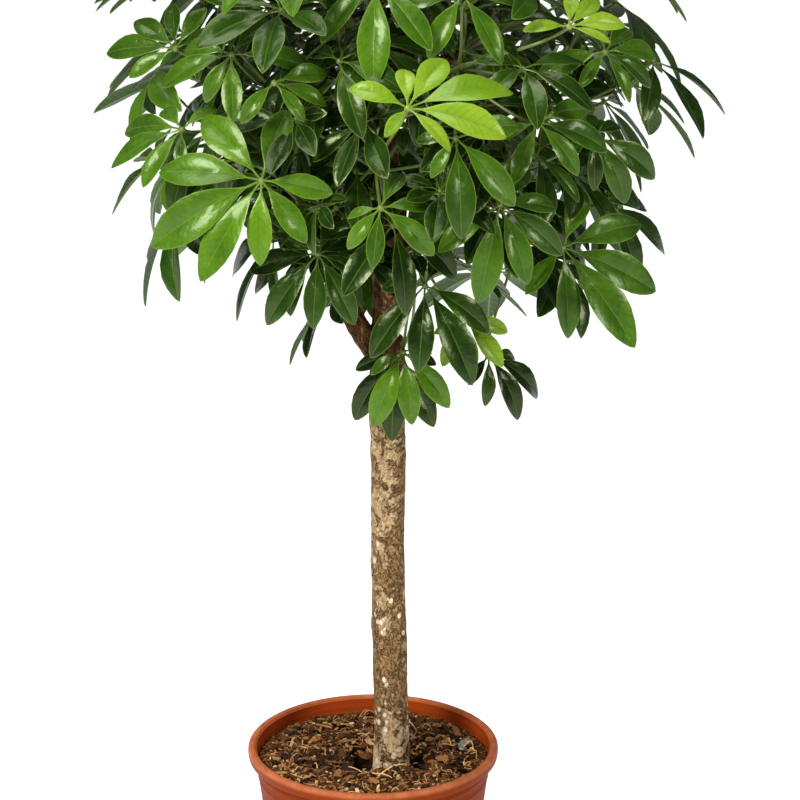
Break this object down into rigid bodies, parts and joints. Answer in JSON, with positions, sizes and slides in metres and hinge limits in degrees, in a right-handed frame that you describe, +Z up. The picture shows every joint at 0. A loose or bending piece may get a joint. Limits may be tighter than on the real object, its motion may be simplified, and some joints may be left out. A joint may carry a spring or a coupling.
{
  "type": "potted schefflera",
  "caption": "Umbrella plant grown as a small tree, with a ball of glossy compound leaves on one bare woody trunk in a round plastic nursery pot.",
  "frame": {"origin": "centre of the pot's flat underside, on the surface that it stands on", "axes": "+Z up the trunk, +Y away from the front of the plant, +X to the right as seen from the front"},
  "size_m": [0.6452, 0.5884, 1.1803],
  "materials": {
    "pot_plastic": "satin terracotta-coloured plastic",
    "soil": "loose damp bark mix",
    "bark": "mottled rough bark",
    "leaf": "glossy waxy leaf"
  },
  "bodies": {
    "root": {"pot": "pot_plastic", "soil": "soil", "wood": "bark", "shoot_01": "leaf", "shoot_02": "leaf", "shoot_03": "leaf", "shoot_04": "leaf", "shoot_05": "leaf", "shoot_06": "leaf", "shoot_07": "leaf", "shoot_08": "leaf", "shoot_09": "leaf", "shoot_10": "leaf", "shoot_11": "leaf", "shoot_12": "leaf", "shoot_13": "leaf", "shoot_14": "leaf", "shoot_15": "leaf", "shoot_16": "leaf", "shoot_17": "leaf", "shoot_18": "leaf", "shoot_19": "leaf", "shoot_20": "leaf", "shoot_21": "leaf", "shoot_22": "leaf"}
  },
  "joints": []
}
